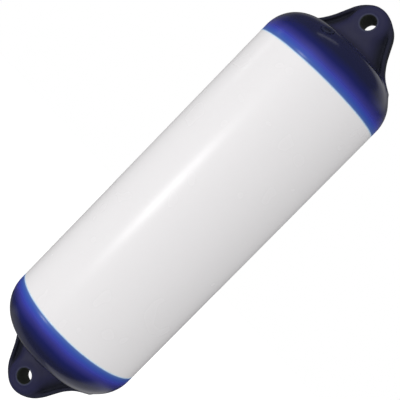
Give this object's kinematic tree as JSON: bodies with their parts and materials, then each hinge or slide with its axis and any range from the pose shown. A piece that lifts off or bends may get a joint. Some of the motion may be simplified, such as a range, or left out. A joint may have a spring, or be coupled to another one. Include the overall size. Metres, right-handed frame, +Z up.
{
  "type": "boat fender",
  "caption": "Inflatable cylindrical boat fender: white vinyl body, rounded blue ends, each with a bell-shaped lug pierced by a rope eye, and an air valve.",
  "frame": {"origin": "centre of the upper rope eye", "axes": "+Z up along the fender's long axis, from the lower eye to the upper eye; +Y along the upper eye's bore; the valve is on the -Y side"},
  "size_m": [0.15, 0.15, 0.524],
  "materials": {
    "white_vinyl": "glossy white vinyl with a faint orange-peel",
    "blue_vinyl": "glossy translucent navy vinyl that thins to light blue at the colour line",
    "valve_vinyl": "satin navy vinyl",
    "screw_nylon": "satin dark nylon"
  },
  "bodies": {
    "root": {"body_shell": "white_vinyl", "upper_rope_hold": "blue_vinyl", "lower_rope_hold": "blue_vinyl", "valve_insert": "valve_vinyl", "valve_screw": "screw_nylon"}
  },
  "joints": []
}
